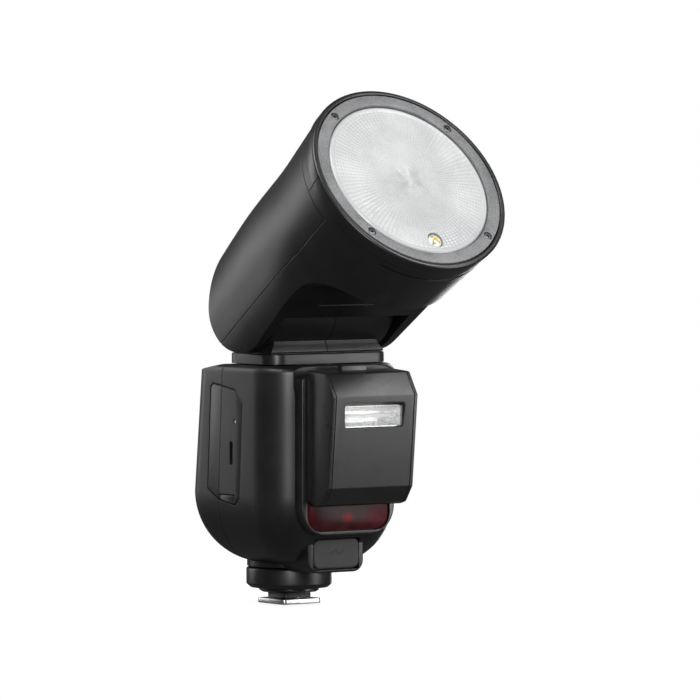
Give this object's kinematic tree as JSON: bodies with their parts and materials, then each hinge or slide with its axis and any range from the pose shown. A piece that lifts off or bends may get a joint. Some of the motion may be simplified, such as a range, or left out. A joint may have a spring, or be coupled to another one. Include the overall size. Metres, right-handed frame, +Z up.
{
  "type": "speedlight flash",
  "caption": "Camera-top speedlight flash with a round tilting head, clip-on small flash, side battery, port flap, rear controls and a locking shoe foot.",
  "frame": {"origin": "centre of the underside of the metal shoe foot", "axes": "+Z up through the body, -Y is the front that the flash fires towards, +X is to the right when looking along +Y"},
  "size_m": [0.0836, 0.1305, 0.2001],
  "materials": {
    "shell": "fine-textured satin black moulding",
    "satin": "smooth satin black",
    "gloss": "gloss black",
    "rubber": "matt black rubber",
    "red": "clear dark red",
    "lens": "clear, finely ribbed",
    "mirror": "bright reflector",
    "steel": "plated steel",
    "dark_steel": "blackened steel",
    "brass": "gold-plated",
    "board": "green circuit board"
  },
  "bodies": {
    "body": {"body_front_shell": "shell", "body_rear_shell": "shell", "front_fascia": "satin", "af_assist_window": "red", "af_assist_lamp": "red", "small_flash_contacts": "brass", "port_socket": "gloss", "screen_window": "gloss", "main_board": "board", "flash_capacitor": "gloss", "foot_neck": "shell", "foot_plate": "steel", "contact_insert": "gloss", "contact_pins": "brass"},
    "lock_ring": {"lock_ring": "shell"},
    "clamp_plate": {"clamp_plate": "satin"},
    "lock_pin": {"lock_pin": "steel"},
    "port_flap": {"port_flap": "rubber"},
    "battery": {"battery_case_front": "shell", "battery_case_rear": "shell", "battery_charge_light": "gloss", "battery_charge_socket": "steel"},
    "battery_latch": {"battery_latch": "satin"},
    "small_flash": {"small_flash_housing": "satin", "small_flash_cover": "satin", "small_flash_window": "lens", "small_flash_reflector": "mirror", "small_flash_tube": "lens"},
    "small_flash_release": {"small_flash_release": "satin"},
    "control_dial": {"control_dial": "satin"},
    "set_button": {"set_button": "rubber"},
    "soft_key_1": {"soft_key_1": "rubber"},
    "soft_key_2": {"soft_key_2": "rubber"},
    "soft_key_3": {"soft_key_3": "rubber"},
    "soft_key_4": {"soft_key_4": "rubber"},
    "mode_button": {"mode_button": "rubber"},
    "test_button": {"test_button": "rubber"},
    "power_switch": {"power_switch": "satin"},
    "swivel": {"swivel_base": "shell", "swivel_retainer": "dark_steel", "hinge_drum_left": "shell", "hinge_drum_right": "shell", "tilt_axle": "steel"},
    "head": {"head_lower_shell": "shell", "head_top_cover": "shell", "head_collar_top": "shell", "head_frame": "satin", "rim_ring": "satin", "lens_bezel": "satin", "bezel_screw_1": "dark_steel", "bezel_screw_2": "dark_steel", "bezel_screw_3": "dark_steel", "bezel_screw_4": "dark_steel", "front_lens": "lens", "modelling_light": "lens", "zoom_motor": "steel"},
    "head_release_button": {"head_release_button": "satin"},
    "zoom_carriage": {"zoom_reflector": "mirror", "flash_tube": "lens"},
    "zoom_screw": {"zoom_screw": "brass"}
  },
  "joints": [
    {"name": "head_swivel", "type": "hinge", "parent": "body", "child": "swivel", "pos_m": [0, -0.013, 0.0945], "axis": [0, 0, 1], "range_deg": [-150, 180]},
    {"name": "head_tilt", "type": "hinge", "parent": "swivel", "child": "head", "pos_m": [0, -0.013, 0.1193], "axis": [-1, 0, 0], "range_deg": [-36.6, 83.4]},
    {"name": "head_release_press", "type": "slide", "parent": "head", "child": "head_release_button", "axis": [-1, 0, 0], "range_m": [0, 0.001], "stiffness_N_per_m": 400},
    {"name": "zoom_slide", "type": "slide", "parent": "head", "child": "zoom_carriage", "axis": [0, -0.8028, 0.5962], "range_m": [-0.009, 0]},
    {"name": "zoom_screw_turn", "type": "hinge", "parent": "head", "child": "zoom_screw", "pos_m": [0, -0.03561, 0.17271], "axis": [0, -0.8028, 0.5962], "range_deg": [-362, 2]},
    {"name": "lock_ring_turn", "type": "hinge", "parent": "body", "child": "lock_ring", "pos_m": [0, 0, 0.01], "axis": [0, 0, 1], "range_deg": [0, 90]},
    {"name": "clamp_drop", "type": "slide", "parent": "body", "child": "clamp_plate", "axis": [0, 0, 1], "range_m": [-0.0012, 0]},
    {"name": "lock_pin_drop", "type": "slide", "parent": "body", "child": "lock_pin", "axis": [0, 0, 1], "range_m": [-0.0012, 0]},
    {"name": "port_flap_hinge", "type": "hinge", "parent": "body", "child": "port_flap", "pos_m": [0, -0.0306, 0.0159], "axis": [1, 0, 0], "range_deg": [0, 95]},
    {"name": "battery_slide", "type": "slide", "parent": "body", "child": "battery", "axis": [-1, 0, 0], "range_m": [0, 0.055]},
    {"name": "battery_latch_slide", "type": "slide", "parent": "battery", "child": "battery_latch", "axis": [1, 0, 0], "range_m": [0, 0.001], "stiffness_N_per_m": 400},
    {"name": "small_flash_slide", "type": "slide", "parent": "body", "child": "small_flash", "axis": [0, -1, 0], "range_m": [0, 0.04]},
    {"name": "small_flash_release_press", "type": "slide", "parent": "small_flash", "child": "small_flash_release", "axis": [0, 0, -1], "range_m": [0, 0.0015], "stiffness_N_per_m": 400},
    {"name": "control_dial_turn", "type": "hinge", "parent": "body", "child": "control_dial", "pos_m": [0, 0.0246, 0.044], "axis": [0, 0.995, 0.0995], "continuous": true},
    {"name": "set_button_press", "type": "slide", "parent": "body", "child": "set_button", "axis": [0, -0.995, -0.0995], "range_m": [0, 0.0008], "stiffness_N_per_m": 400},
    {"name": "soft_key_1_press", "type": "slide", "parent": "body", "child": "soft_key_1", "axis": [0, -0.995, -0.0995], "range_m": [0, 0.0008], "stiffness_N_per_m": 400},
    {"name": "soft_key_2_press", "type": "slide", "parent": "body", "child": "soft_key_2", "axis": [0, -0.995, -0.0995], "range_m": [0, 0.0008], "stiffness_N_per_m": 400},
    {"name": "soft_key_3_press", "type": "slide", "parent": "body", "child": "soft_key_3", "axis": [0, -0.995, -0.0995], "range_m": [0, 0.0008], "stiffness_N_per_m": 400},
    {"name": "soft_key_4_press", "type": "slide", "parent": "body", "child": "soft_key_4", "axis": [0, -0.995, -0.0995], "range_m": [0, 0.0008], "stiffness_N_per_m": 400},
    {"name": "mode_button_press", "type": "slide", "parent": "body", "child": "mode_button", "axis": [0, -0.995, -0.0995], "range_m": [0, 0.0008], "stiffness_N_per_m": 400},
    {"name": "test_button_press", "type": "slide", "parent": "body", "child": "test_button", "axis": [0, -0.995, -0.0995], "range_m": [0, 0.0008], "stiffness_N_per_m": 400},
    {"name": "power_switch_slide", "type": "slide", "parent": "body", "child": "power_switch", "axis": [1, 0, 0], "range_m": [0, 0.004]}
  ],
  "couplings": [
    {"joint": "zoom_screw_turn", "follows": "zoom_slide", "rad_per_m": 698.13},
    {"joint": "clamp_drop", "follows": "lock_ring_turn", "m_per_rad": -0.00076394},
    {"joint": "lock_pin_drop", "follows": "lock_ring_turn", "m_per_rad": -0.00076394}
  ]
}
